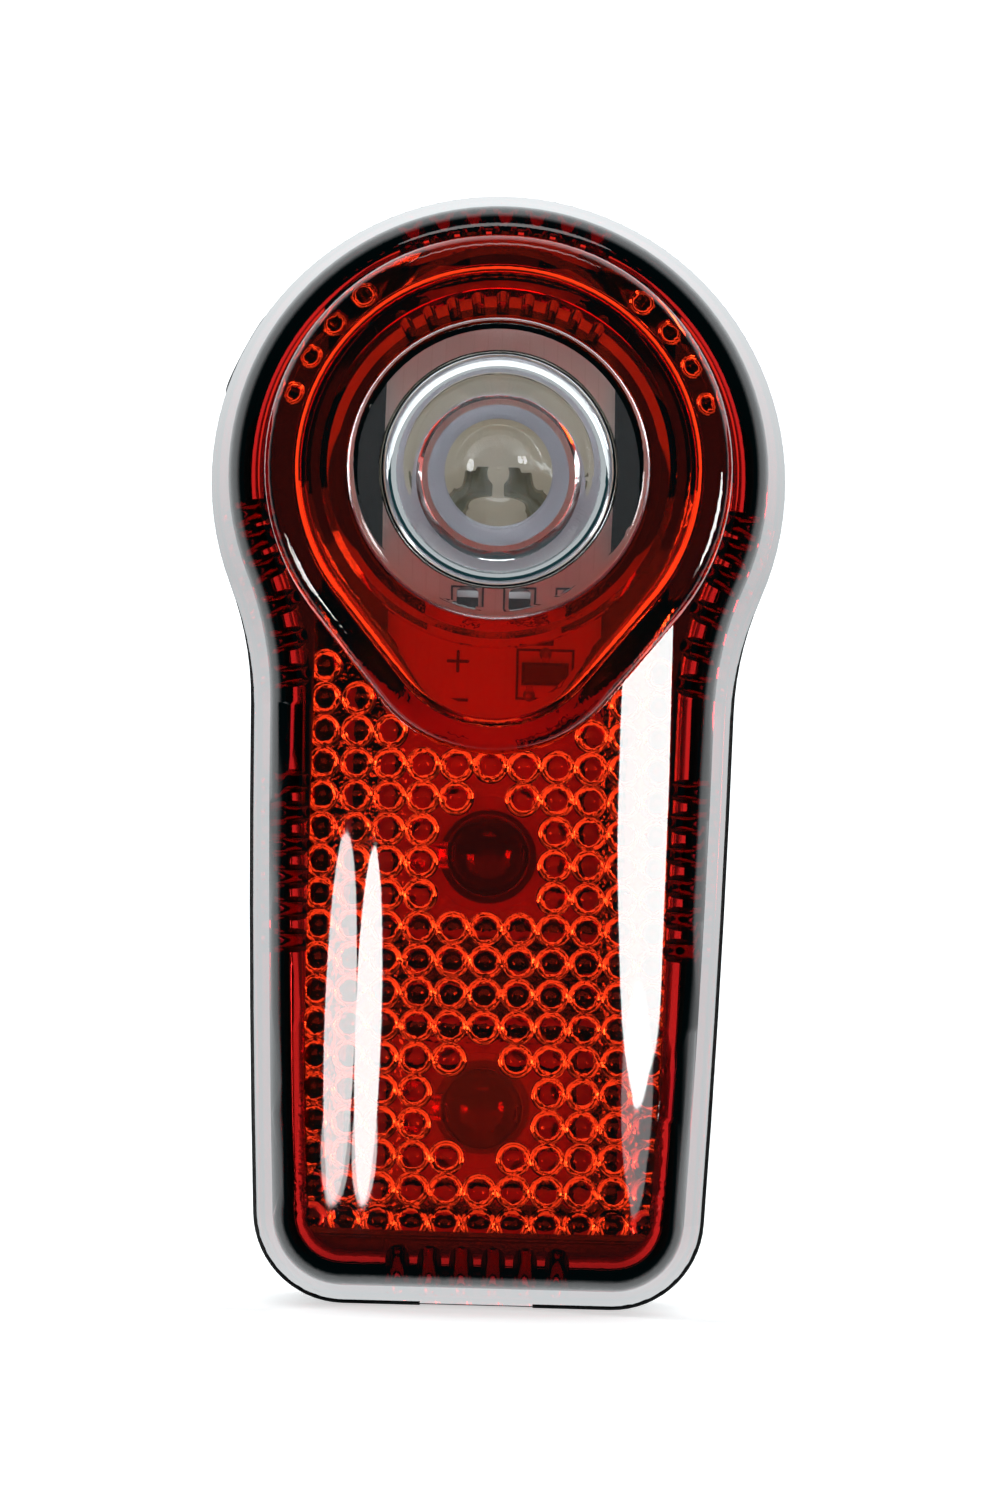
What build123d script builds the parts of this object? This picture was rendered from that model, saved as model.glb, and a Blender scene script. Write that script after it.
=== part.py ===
from build123d import *
import os
from math import atan2, cos, hypot, pi, radians, sin, sqrt, tan

# Rear light for a bicycle. Millimetres, +Z up, the lens faces -Y, the foot stands on Z = 0.
# A depth is given as the distance ahead of the seam between lens and housing.

# Outline of the case, seen from the front; its width and length follow from the cells below
head_overhang = 2.9
head_drop = 1.2
body_taper = 1.4
neck_drop = 8.5
side_bulge = 0.25
neck_radius = 20.0
corner_radius = 5.6

# Red lens
lens_flank = 7.5
lens_draft = 13.0
lens_wall = 1.8
shoulder_radius = 2.4
inner_shoulder_radius = 1.0
panel_head_radius = 14.7
panel_inset = 3.4
panel_foot = 4.5
panel_corner_radius = 1.2
panel_rim_wall = 0.5
step_rise = 0.5
arch_rise = 3.4
arch_half_width = 10.9
boss_radius = 14.2
boss_end_radius = 8.8
boss_end_drop = 8.6
boss_rise = 4.8
boss_slope = 5.5
boss_rounding = 1.2
crest_radius = 10.8
bezel_depth = 1.2
tube_wall = 1.5
lip_width = 0.8
lip_height = 0.8
spigot_length = 0.4
spigot_gap = 0.1

# Beads, smooth windows, flutes and teeth on the inner side of the red lens
bead_radius = 1.08
bead_pitch = 1.98
bead_columns = 5
bead_margin = 0.3
bead_sink = 0.12
window_radius = 3.4
head_bead_radius = 0.8
head_bead_circle = 13.3
head_bead_angle = 19.5
head_bead_step = 10.5
head_bead_count = 4
flute_radius = 0.75
flute_pitch = 1.95
flute_gap = 0.4
top_flute_count = 7
neck_flute_count = 6
neck_flute_drop = 12.9
side_flute_count = 6
side_flute_drop = 28.9
foot_flute_count = 6
tooth_radius = 0.4
tooth_pitch = 1.6
tooth_count = 9
tooth_length = 2.4

# Clear optic
optic_radius = 9.2
optic_clearance = 0.1
optic_thickness = 2.0
optic_crown = 0.5
optic_rounding = 0.7
cup_mouth_radius = 7.2
cup_base_radius = 4.5
cup_bulge = 0.6
bore_radius = 3.2
bore_depth = 3.0
bore_crown = 0.9
optic_to_led = 0.5

# Light sources
led_size = 5.2
led_height = 1.3
led_rounding = 0.4
led_dome_radius = 2.2
led_dome_height = 0.8
signal_led_radius = 2.5
signal_led_height = 8.6
signal_flange_radius = 2.9
signal_flange_height = 1.0
lower_led_rise = 8.8
led_spacing = 15.5
lead_spacing = 2.54
lead_radius = 0.25
lead_clearance = 0.1
lead_reach = 0.9

# Circuit board and what is soldered on it
board_ahead = -0.1
board_thickness = 1.2
board_inset = 0.4
transistor_length = 2.9
transistor_width = 1.4
transistor_thickness = 1.1
transistor_x = 3.2
transistor_drop = 11.9
transistor_leg_spacing = 1.9
leg_width = 0.42
leg_thickness = 0.2
leg_reach = 0.6
resistor_length = 2.0
resistor_width = 1.25
resistor_thickness = 0.55
resistor_spacing = 3.0
resistor_count = 3
resistor_x = 1.4
resistor_drop = 7.3
chip_length = 4.9
chip_width = 3.9
chip_thickness = 1.5
chip_x = 1.0
chip_rise = 5.7
chip_leg_pitch = 1.27
chip_leg_count = 4
chip_leg_reach = 1.0

# Black mask in front of the board
mask_thickness = 1.0
mask_clearance = 0.15
window_half_width = 6.6
window_rise = 12.7
window_bar_height = 7.0
window_foot_rise = 2.8
window_corner_radius = 0.8
screw_post_radius = 1.9
screw_post_height = 3.0

# Cells and their tray
cell_radius = 5.25
cell_length = 44.5
cell_nub_radius = 1.9
cell_nub_height = 0.8
cell_rounding = 0.5
cell_spacing = 10.6
cell_gap = 0.5
tray_inset = 2.3
bay_wall = 0.65
tray_head_radius = 14.0
tray_neck_radius = 6.0
tray_foot = 2.6
tray_wall = 1.0
tray_depth = 5.7
tray_corner_radius = 2.0
tray_seat = 0.7
bay_clearance = 0.1
head_wall = 1.4
rib_thickness = 2.0
rib_pitch = 13.0
rib_count = 3
saddle_clearance = 0.15
contact_thickness = 0.4
contact_size = 7.6
contact_rounding = 1.0
spring_wire = 0.5
spring_length = 2.6
spring_turns = 2
spring_foot_radius = 3.2
spring_tip_radius = 1.9

# Screws through tray and board into the mask
screw_radius = 0.9
screw_head_radius = 1.6
screw_head_height = 1.0
screw_length = 4.6
screw_fit = 0.03
screw_boss_radius = 2.2
cross_width = 0.45
cross_depth = 0.5
head_screw_x = 6.0
head_screw_rise = 9.6

# Push switch and its rubber button
button_angle = 153.0
button_radius = 3.1
button_clearance = 0.08
button_proud = 0.25
button_rounding = 0.5
button_travel = 0.5
flange_radius = 4.0
flange_height = 0.8
flange_gap = 0.1
stem_radius = 1.4
stem_to_plunger = 0.25
switch_width = 6.0
switch_depth = 3.8
switch_height = 7.0
switch_axis_height = 4.0
switch_face = 13.2
switch_clearance = 0.2
plunger_radius = 1.5
plunger_clearance = 0.06
plunger_reach = 1.1
plunger_root = 1.2
plunger_rounding = 0.2

# Back housing and its seal
housing_proud = 0.12
housing_wall = 1.6
housing_clearance = 0.3
housing_back_rounding = 3.0
housing_inner_rounding = 1.4
rim_lip = 0.85
seal_seat = 1.2
seal_gap = 0.05
coin_slot_width = 7.0
coin_slot_depth = 1.1
coin_slot_height = 0.9

# Clip on the back
clip_gap = 4.6
clip_thickness = 2.0
clip_half_width = 7.0
clip_foot_rise = 0.2
clip_foot_height = 9.0
clip_rounding = 1.2
clip_seam = 0.05
tongue_half_width = 6.2
tongue_tip_half_width = 5.2
tongue_tip_radius = 2.0
tongue_length = 38.45
tongue_tip_thickness = 1.0
ridge_from_tip = 7.0
ridge_radius = 2.4
ridge_reach = 1.6
clip_screw_radius = 1.1
clip_screw_head_radius = 2.0
clip_screw_head_height = 1.2
clip_screw_length = 6.2
clip_screw_x = 4.0

# Cutting tools run past the faces that they cut by this much
overrun = 1.0
hole_end_gap = 0.25

os.makedirs("parts", exist_ok=True)

# Depths that follow from the sizes above
front_reach = lens_flank + boss_rise
board_back = board_ahead - board_thickness
mask_front = board_ahead + mask_thickness
cell_axis = board_back - cell_gap - cell_radius
housing_floor = cell_axis - cell_radius - housing_clearance
housing_back = housing_floor - housing_wall
clip_face = housing_back - clip_gap
clip_back = clip_face - clip_thickness
seam_ahead = (-clip_back - front_reach) / 2
flute_start = mask_front + flute_gap

# Widths and heights that follow from the sizes above
bay_half_width = cell_spacing / 2 + cell_radius + bay_clearance
foot_half_width = bay_half_width + bay_wall + tray_inset
neck_half_width = foot_half_width + body_taper
head_radius = neck_half_width + head_overhang
bay_foot = tray_foot + tray_wall
cell_foot = bay_foot + contact_thickness
cell_top = cell_foot + spring_length + cell_length
bay_top = cell_top + contact_thickness
head_height = bay_top + tray_wall - head_drop
lower_led_height = bay_foot + lower_led_rise
upper_led_height = lower_led_height + led_spacing
bar_height = (lower_led_height + upper_led_height) / 2
window_bar_foot = bar_height - window_bar_height / 2
window_bar_top = bar_height + window_bar_height / 2
window_foot = bay_foot + window_foot_rise
window_top = head_height + window_rise
transistor_height = head_height - transistor_drop
resistor_height = head_height - resistor_drop
chip_height = head_height + chip_rise
clip_foot_low = head_height + clip_foot_rise
clip_foot_high = clip_foot_low + clip_foot_height


def depth(ahead):
    """The Y of a place so far ahead of the seam."""
    return -seam_ahead - ahead


def facing(ahead):
    """The upright plane so far ahead of the seam, looking out through the lens."""
    return Plane.XZ.offset(seam_ahead + ahead)


def side_at(height):
    """Half width of the lower case at this height."""
    rise = (neck_half_width - foot_half_width) / (head_height - neck_drop)
    return foot_half_width + rise * height


def ball_radius(half_chord, rise):
    """The radius of the ball whose cap has this half chord and rise."""
    return (half_chord**2 + rise**2) / (2 * rise)


def case_outline(plane, head, inset, foot, corner, neck):
    """The case's outline with its own head radius, side inset, foot height and roundings."""
    top = head_height - neck_drop
    with BuildSketch(plane) as drawn:
        with BuildLine():
            SagittaArc((side_at(foot) - inset, foot), (side_at(top) - inset, top), -side_bulge)
            Line((side_at(top) - inset, top), (inset - side_at(top), top))
            SagittaArc((inset - side_at(top), top), (inset - side_at(foot), foot), -side_bulge)
            Line((inset - side_at(foot), foot), (side_at(foot) - inset, foot))
        make_face()
        with Locations((0, head_height)):
            Circle(head)
        fillet(drawn.vertices().sort_by(Axis.Y)[2:4], neck)
        fillet(drawn.vertices().sort_by(Axis.Y)[0:2], corner)
    return drawn.sketch


def lens_outline(ahead, inset):
    """The lens's outline at the seam, moved in by an inset."""
    corner = corner_radius - inset
    return case_outline(
        facing(ahead), head_radius - inset, inset, housing_proud + inset, corner, neck_radius + inset
    )


def panel_outline(ahead, inset):
    """The outline of the raised panel on the lens."""
    corner = panel_corner_radius - inset / 2
    neck = neck_radius + panel_inset + inset
    return case_outline(
        facing(ahead), panel_head_radius - inset, panel_inset + inset, panel_foot + inset, corner, neck
    )


def housing_outline(ahead, inset):
    """The housing's outline, a little proud of the lens along its sides and foot."""
    side = inset - housing_proud
    return case_outline(
        facing(ahead), head_radius - inset, side, inset, corner_radius - side, neck_radius + side
    )


def tray_outline(ahead, inset):
    """The outline of the cell tray, and of the board on it."""
    foot = tray_foot + inset
    foot_half = side_at(foot) - tray_inset - inset
    top_half = side_at(head_height) - tray_inset - inset
    with BuildSketch(facing(ahead)) as drawn:
        Polygon(
            (-foot_half, foot),
            (foot_half, foot),
            (top_half, head_height),
            (-top_half, head_height),
            align=None,
        )
        with Locations((0, head_height)):
            Circle(tray_head_radius - inset)
        fillet(drawn.vertices().sort_by(Axis.Y)[2:4], tray_neck_radius)
        fillet(drawn.vertices().sort_by(Axis.Y)[0:2], tray_corner_radius - inset)
    return drawn.sketch


def boss_outline(ahead, inset):
    """The boss: a large circle round the optic, drawn out downwards to a smaller one."""
    with BuildSketch(facing(ahead)) as drawn:
        with Locations((0, head_height)):
            Circle(boss_radius - inset)
        with Locations((0, head_height - boss_end_drop)):
            Circle(boss_end_radius - inset)
        make_hull()
    return drawn.sketch


def beside_boss(x, height, margin):
    """Whether a place lies outside the boss by this margin."""
    steps = 24
    for step in range(steps + 1):
        share = step / steps
        radius = boss_radius + share * (boss_end_radius - boss_radius)
        if hypot(x, height - head_height + share * boss_end_drop) < radius + margin:
            return False
    return True


optic_axis = Axis((0, depth(0), head_height), (0, -1, 0))
optic_plane = Plane(origin=(0, depth(0), head_height), x_dir=(1, 0, 0), z_dir=(0, 0, -1))
arch_radius = ball_radius(arch_half_width, arch_rise - step_rise)
arch_centre = lens_flank + arch_rise - arch_radius


def raised_panel(inset, wall):
    """The barrel-shaped panel, or the hollow behind it."""
    low = lens_flank - overrun - wall
    with BuildPart() as made:
        extrude(panel_outline(low, inset), amount=arch_rise + overrun)
        with BuildSketch(Plane.XY):
            with Locations((0, depth(arch_centre))):
                Circle(arch_radius - wall)
        extrude(amount=head_height + head_radius, mode=Mode.INTERSECT)
    return made.part


def raised_boss(inset, wall):
    """The boss with its gently sloped top, or the hollow behind it."""
    base = lens_flank - overrun - wall
    top = lens_flank + boss_rise - wall
    reach = boss_radius + boss_end_drop
    rim = top - (reach - crest_radius) * tan(radians(boss_slope))
    with BuildPart() as made:
        extrude(boss_outline(base, inset), amount=top - base)
        with BuildSketch(optic_plane):
            Polygon(
                (0, base - overrun),
                (reach, base - overrun),
                (reach, rim),
                (crest_radius, top),
                (0, top),
                align=None,
            )
        revolve(axis=optic_axis, mode=Mode.INTERSECT)
        top_edges = []
        for edge in made.edges().filter_by(Axis.Y, reverse=True):
            middle = edge.position_at(0.5)
            off_axis = hypot(middle.X, middle.Z - head_height)
            if -seam_ahead - middle.Y > lens_flank and off_axis > (crest_radius + boss_radius - inset) / 2:
                top_edges.append(edge)
        fillet(top_edges, boss_rounding)
    return made.part


def flank_place(height):
    """Distance from the middle to the lens's outline at a height, and the way it faces there."""
    drop = head_height - height
    neck_x = neck_half_width + neck_radius
    neck_low = sqrt((head_radius + neck_radius) ** 2 - neck_x**2)
    joint = neck_low * head_radius / (head_radius + neck_radius)
    if drop < joint:
        x = sqrt(head_radius**2 - drop**2)
        return x, atan2(-drop, x)
    if drop < neck_low:
        x = neck_x - sqrt(neck_radius**2 - (neck_low - drop) ** 2)
        return x, atan2(drop - neck_low, neck_x - x)
    return side_at(height) + side_bulge, 0


def flute_location(x, height, angle):
    """A flute's foot on the inner flank, leaning with the flank's draft."""
    lean = radians(lens_draft)
    start = lens_wall + flute_start * tan(lean)
    origin = (x - start * cos(angle), depth(flute_start), height - start * sin(angle))
    along = (-sin(lean) * cos(angle), -cos(lean), -sin(lean) * sin(angle))
    return Plane(origin=origin, z_dir=along).location


flutes = []
for number in range(top_flute_count):
    turn = radians(90) + (number - (top_flute_count - 1) / 2) * flute_pitch / (head_radius - lens_wall)
    flutes.append(flute_location(head_radius * cos(turn), head_height + head_radius * sin(turn), turn))
for number in range(foot_flute_count):
    across = (number - (foot_flute_count - 1) / 2) * flute_pitch
    flutes.append(flute_location(across, housing_proud, -radians(90)))
for drop, count in ((neck_flute_drop, neck_flute_count), (side_flute_drop, side_flute_count)):
    for number in range(count):
        up = head_height - drop + number * flute_pitch
        out, turn = flank_place(up)
        flutes.append(flute_location(out, up, turn))
        flutes.append(flute_location(-out, up, pi - turn))

# The beads hang on the hollow side of the panel, in rows and columns
arch_inside = arch_radius - lens_wall
inner_foot = panel_foot + panel_rim_wall
row_count = int((head_height - boss_end_drop - inner_foot) / bead_pitch)
beads = []
for column in range(-bead_columns, bead_columns + 1):
    across = column * bead_pitch
    for row in range(row_count):
        up = inner_foot + bead_radius / 2 + row * bead_pitch
        room = side_at(up) - panel_inset - panel_rim_wall + bead_margin
        seen = min(hypot(across, up - led) for led in (lower_led_height, upper_led_height))
        if abs(across) < room and seen > window_radius and beside_boss(across, up, 0):
            ahead = arch_centre + sqrt(arch_inside**2 - across**2) + bead_sink
            beads.append((across, depth(ahead), up))
head_beads = []
for number in range(head_bead_count):
    turn = radians(head_bead_angle + number * head_bead_step)
    across = head_bead_circle * cos(turn)
    up = head_height + head_bead_circle * sin(turn)
    arch_ahead = arch_centre + sqrt(arch_inside**2 - across**2)
    ahead = max(arch_ahead, lens_flank + step_rise - lens_wall) + bead_sink
    head_beads += [(-across, depth(ahead), up), (across, depth(ahead), up)]
print("beads", len(beads) + len(head_beads), "flutes", len(flutes))

tube_bore = optic_radius + optic_clearance
tube_radius = tube_bore + tube_wall
optic_edge = front_reach - bezel_depth
optic_seat = optic_edge - optic_thickness
tube_foot = optic_seat - lip_height
teeth = []
for number in range(tooth_count):
    turn = radians(90) + (number - (tooth_count - 1) / 2) * tooth_pitch / tube_radius
    out = (tube_radius * cos(turn), depth(tube_foot), head_height + tube_radius * sin(turn))
    teeth.append(Plane(origin=out, z_dir=(0, -1, 0)).location)

panel_hollow = raised_panel(panel_rim_wall, lens_wall)
boss_hollow = raised_boss(lens_wall, lens_wall)
with BuildPart() as lens_hollow:
    extrude(lens_outline(0, lens_wall), amount=lens_flank - lens_wall, taper=lens_draft)
    fillet(lens_hollow.faces().sort_by(Axis.Y)[0].edges(), inner_shoulder_radius)
    extrude(panel_outline(lens_flank - lens_wall - overrun, panel_rim_wall), amount=overrun + step_rise)
    add(panel_hollow)
    add(boss_hollow)

with BuildPart() as red_lens:
    extrude(lens_outline(0, 0), amount=lens_flank, taper=lens_draft)
    fillet(red_lens.faces().sort_by(Axis.Y)[0].edges(), shoulder_radius)
    extrude(panel_outline(lens_flank - overrun, 0), amount=overrun + step_rise)
    add(raised_panel(0, 0))
    add(raised_boss(0, 0))
    add(lens_hollow.part, mode=Mode.SUBTRACT)
    # Spigot that presses on the seal
    with BuildSketch(facing(0)):
        add(lens_outline(0, rim_lip + spigot_gap))
        add(lens_outline(0, lens_wall), mode=Mode.SUBTRACT)
    extrude(amount=-spigot_length)
    # Tube round the optic, and the lip that the optic sits on
    with BuildSketch(facing(tube_foot)):
        with Locations((0, head_height)):
            Circle(tube_radius)
    extrude(amount=front_reach - lens_wall / 2 - tube_foot)
    with Locations(*teeth):
        Cylinder(tooth_radius, tooth_length, align=(Align.CENTER, Align.CENTER, Align.MIN))
    with BuildSketch(optic_plane):
        Polygon(
            (0, tube_foot - overrun),
            (tube_bore - lip_width, tube_foot - overrun),
            (tube_bore - lip_width, optic_seat),
            (tube_bore, optic_seat),
            (tube_bore, optic_edge),
            (crest_radius, front_reach),
            (crest_radius, front_reach + overrun),
            (0, front_reach + overrun),
            align=None,
        )
    revolve(axis=optic_axis, mode=Mode.SUBTRACT)
    with Locations(*flutes):
        Cylinder(
            flute_radius,
            lens_flank - lens_wall / 2 - flute_start,
            align=(Align.CENTER, Align.CENTER, Align.MIN),
        )
    with Locations(*beads):
        Sphere(bead_radius)
    with Locations(*head_beads):
        Sphere(head_bead_radius)
red_lens.part.label = "red_lens"
export_step(red_lens.part, "parts/red_lens.step")


# Clear optic: a disc with a low crown, and a cup that narrows towards the light source
cup_foot = board_ahead + led_height + led_dome_height + optic_to_led
with BuildPart() as clear_lens:
    with BuildSketch(optic_plane):
        with BuildLine():
            crown_top = (0, optic_edge + optic_crown)
            crown_half = optic_radius - optic_rounding
            crown_end = (crown_half, optic_edge)
            rim_end = (optic_radius, optic_edge - optic_rounding)
            RadiusArc(crown_top, crown_end, ball_radius(crown_half, optic_crown))
            RadiusArc(crown_end, rim_end, optic_rounding)
            Polyline(rim_end, (optic_radius, optic_seat), (cup_mouth_radius, optic_seat))
            SagittaArc((cup_mouth_radius, optic_seat), (cup_base_radius, cup_foot), cup_bulge)
            bore_end = (bore_radius, cup_foot + bore_depth)
            Polyline((cup_base_radius, cup_foot), (bore_radius, cup_foot), bore_end)
            roof_low = (0, cup_foot + bore_depth - bore_crown)
            RadiusArc(bore_end, roof_low, ball_radius(bore_radius, bore_crown))
            Line(roof_low, crown_top)
        make_face()
    revolve(axis=optic_axis)
clear_lens.part.label = "clear_lens"
export_step(clear_lens.part, "parts/clear_lens.step")

# Main light source: a square package with a low clear dome
with BuildPart() as main_led:
    with BuildSketch(facing(board_ahead)):
        with Locations((0, head_height)):
            RectangleRounded(led_size, led_size, led_rounding)
    extrude(amount=led_height)
    with BuildSketch(optic_plane):
        with BuildLine():
            dome_base = board_ahead + led_height
            Line((0, dome_base - led_height / 2), (0, dome_base + led_dome_height))
            dome_ball = ball_radius(led_dome_radius, led_dome_height)
            RadiusArc((0, dome_base + led_dome_height), (led_dome_radius, dome_base), dome_ball)
            Line((led_dome_radius, dome_base), (led_dome_radius, dome_base - led_height / 2))
            Line((led_dome_radius, dome_base - led_height / 2), (0, dome_base - led_height / 2))
        make_face()
    revolve(axis=optic_axis)
main_led.part.label = "main_led"
export_step(main_led.part, "parts/main_led.step")

# Two round signal light sources with their leads through the board
for name, height in (("lower_led", lower_led_height), ("upper_led", upper_led_height)):
    with BuildPart() as signal_led:
        with BuildSketch(facing(board_ahead)):
            with Locations((0, height)):
                Circle(signal_flange_radius)
        extrude(amount=signal_flange_height)
        with BuildSketch(facing(board_ahead)):
            with Locations((0, height)):
                Circle(signal_led_radius)
        extrude(amount=signal_led_height - signal_led_radius)
        with Locations((0, depth(board_ahead + signal_led_height - signal_led_radius), height)):
            Sphere(signal_led_radius)
        with BuildSketch(facing(board_ahead)):
            with Locations((-lead_spacing / 2, height), (lead_spacing / 2, height)):
                Circle(lead_radius)
        extrude(amount=-board_thickness - lead_reach)
    signal_led.part.label = name
    export_step(signal_led.part, "parts/" + name + ".step")

# Circuit board
head_screw_height = head_height + head_screw_rise
screw_places = [(-head_screw_x, head_screw_height), (head_screw_x, head_screw_height), (0, bar_height)]
lead_places = []
for height in (lower_led_height, upper_led_height):
    lead_places += [(-lead_spacing / 2, height), (lead_spacing / 2, height)]
with BuildPart() as circuit_board:
    extrude(tray_outline(board_ahead, board_inset), amount=-board_thickness)
    with BuildSketch(facing(board_ahead)):
        with Locations(*lead_places):
            Circle(lead_radius + lead_clearance)
        with Locations(*screw_places):
            Circle(screw_radius + lead_clearance)
    extrude(amount=-board_thickness, mode=Mode.SUBTRACT)
circuit_board.part.label = "circuit_board"
export_step(circuit_board.part, "parts/circuit_board.step")

# Transistor with three legs
with BuildPart() as transistor:
    with BuildSketch(facing(board_ahead)):
        with Locations((transistor_x, transistor_height)):
            Rectangle(transistor_length, transistor_width)
    extrude(amount=transistor_thickness)
    chamfer(transistor.faces().sort_by(Axis.Y)[0].edges(), leg_thickness)
    leg_row = (transistor_width + leg_reach) / 2
    with BuildSketch(facing(board_ahead)):
        with Locations(
            (transistor_x - transistor_leg_spacing / 2, transistor_height - leg_row),
            (transistor_x + transistor_leg_spacing / 2, transistor_height - leg_row),
            (transistor_x, transistor_height + leg_row),
        ):
            Rectangle(leg_width, leg_reach)
    extrude(amount=leg_thickness)
transistor.part.label = "transistor"
export_step(transistor.part, "parts/transistor.step")

# Chip resistors in a row
with BuildPart() as chip_resistors:
    with BuildSketch(facing(board_ahead)):
        with Locations((resistor_x, resistor_height)):
            with GridLocations(resistor_spacing, resistor_spacing, resistor_count, 1):
                Rectangle(resistor_width, resistor_length)
    extrude(amount=resistor_thickness)
chip_resistors.part.label = "chip_resistors"
export_step(chip_resistors.part, "parts/chip_resistors.step")

# Controller on the back of the board
with BuildPart() as controller_chip:
    with BuildSketch(facing(board_back)):
        with Locations((chip_x, chip_height)):
            Rectangle(chip_length, chip_width)
    extrude(amount=-chip_thickness)
    chamfer(controller_chip.faces().sort_by(Axis.Y)[-1].edges(), leg_thickness)
    chip_row = (chip_width + chip_leg_reach) / 2
    with BuildSketch(facing(board_back)):
        with Locations((chip_x, chip_height - chip_row), (chip_x, chip_height + chip_row)):
            with GridLocations(chip_leg_pitch, chip_leg_pitch, chip_leg_count, 1):
                Rectangle(leg_width, chip_leg_reach)
    extrude(amount=-leg_thickness)
controller_chip.part.label = "controller_chip"
export_step(controller_chip.part, "parts/controller_chip.step")

# Black mask with a window above and below its bar, and posts that take the screws
mask_inset = lens_wall + mask_front * tan(radians(lens_draft)) + mask_clearance
with BuildPart() as board_mask:
    extrude(lens_outline(board_ahead, mask_inset), amount=mask_thickness)
    with BuildSketch(facing(board_ahead)):
        for low, high in ((window_foot, window_bar_foot), (window_bar_top, window_top)):
            with Locations((0, (low + high) / 2)):
                RectangleRounded(2 * window_half_width, high - low, window_corner_radius)
    extrude(amount=mask_thickness, mode=Mode.SUBTRACT)
    with BuildSketch(facing(mask_front)):
        with Locations(*screw_places):
            Circle(screw_post_radius)
    extrude(amount=screw_post_height)
    with BuildSketch(facing(board_ahead)):
        with Locations(*screw_places):
            Circle(screw_radius + screw_fit)
    extrude(amount=screw_length - tray_seat - board_thickness + hole_end_gap, mode=Mode.SUBTRACT)
board_mask.part.label = "board_mask"
export_step(board_mask.part, "parts/board_mask.step")

# Push switch: its place follows from the board and from the button's direction
button_ahead = board_back - switch_axis_height
button_way = (cos(radians(button_angle)), 0, sin(radians(button_angle)))


def across_button(distance):
    """The plane across the button's axis, so far out from the middle of the head."""
    origin = (button_way[0] * distance, depth(button_ahead), head_height + button_way[2] * distance)
    return Plane(origin=origin, x_dir=(0, 1, 0), z_dir=button_way)


plunger_tip = switch_face + plunger_reach
switch_root = switch_face - switch_depth
with BuildPart() as switch_body:
    with BuildSketch(across_button(switch_root)):
        with Locations((switch_height / 2 - switch_axis_height, 0)):
            Rectangle(switch_height, switch_width)
    extrude(amount=switch_depth)
    with BuildSketch(across_button(switch_face)):
        Circle(plunger_radius + plunger_clearance)
    extrude(amount=-plunger_root - button_travel, mode=Mode.SUBTRACT)
switch_body.part.label = "switch_body"
export_step(switch_body.part, "parts/switch_body.step")

with BuildPart() as switch_plunger:
    with BuildSketch(across_button(plunger_tip)):
        Circle(plunger_radius)
    extrude(amount=-plunger_reach - plunger_root)
    rims = switch_plunger.edges().filter_by(GeomType.CIRCLE)
    fillet(rims.sort_by_distance(across_button(plunger_tip).origin)[0], plunger_rounding)
switch_plunger.part.label = "switch_plunger"
export_step(switch_plunger.part, "parts/switch_plunger.step")

# Tray: an open frame with ribs that cradle two cells, and walls that carry their contacts
cell_places = [(-cell_spacing / 2, depth(cell_axis)), (cell_spacing / 2, depth(cell_axis))]
contact_wall_half = cell_spacing / 2 + contact_size / 2
with BuildPart() as battery_tray:
    extrude(tray_outline(board_back, 0), amount=-tray_depth)
    # The hollow behind the head of the board, and the bay for the cells below it
    with BuildSketch(facing(board_back)):
        with Locations((0, head_height)):
            Circle(tray_head_radius - head_wall)
        with Locations((0, (bay_top + tray_wall) / 2)):
            Rectangle(2 * tray_head_radius, bay_top + tray_wall, mode=Mode.SUBTRACT)
        with Locations((0, (bay_foot + bay_top) / 2)):
            Rectangle(2 * bay_half_width, bay_top - bay_foot)
    extrude(amount=-tray_depth, mode=Mode.SUBTRACT)
    # Walls behind the contacts reach to the backs of the cells
    with BuildSketch(facing(board_back)):
        with Locations((0, tray_foot + tray_wall / 2), (0, bay_top + tray_wall / 2)):
            Rectangle(2 * contact_wall_half, tray_wall)
    extrude(amount=-cell_gap - 2 * cell_radius)
    # Ribs and screw bosses, hollowed by the cells
    with BuildSketch(facing(board_back)):
        for number in range(rib_count):
            with Locations((0, bar_height + number * rib_pitch)):
                Rectangle(2 * bay_half_width, rib_thickness)
    extrude(amount=-tray_depth)
    with BuildSketch(facing(board_back)):
        with Locations((0, bar_height)):
            Circle(screw_boss_radius)
    extrude(amount=-tray_depth)
    with BuildSketch(Plane.XY.offset(bay_foot)):
        with Locations(*cell_places):
            Circle(cell_radius + saddle_clearance)
    extrude(amount=bay_top - bay_foot, mode=Mode.SUBTRACT)
    with BuildSketch(facing(board_back)):
        with Locations(*screw_places[0:2]):
            Circle(screw_boss_radius)
    extrude(amount=-tray_seat)
    # Screw holes and the seats of the screw heads
    with BuildSketch(facing(board_back)):
        with Locations(*screw_places):
            Circle(screw_radius + lead_clearance)
    extrude(amount=-tray_depth, mode=Mode.SUBTRACT)
    with BuildSketch(facing(board_back - tray_seat)):
        with Locations(*screw_places):
            Circle(screw_boss_radius)
    extrude(amount=-tray_depth, mode=Mode.SUBTRACT)
    # Notch for the push switch
    with BuildSketch(across_button(switch_root - switch_clearance)):
        Rectangle(2 * (switch_height + overrun), switch_width + 2 * switch_clearance)
    extrude(amount=tray_head_radius, mode=Mode.SUBTRACT)
battery_tray.part.label = "battery_tray"
export_step(battery_tray.part, "parts/battery_tray.step")

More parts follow.
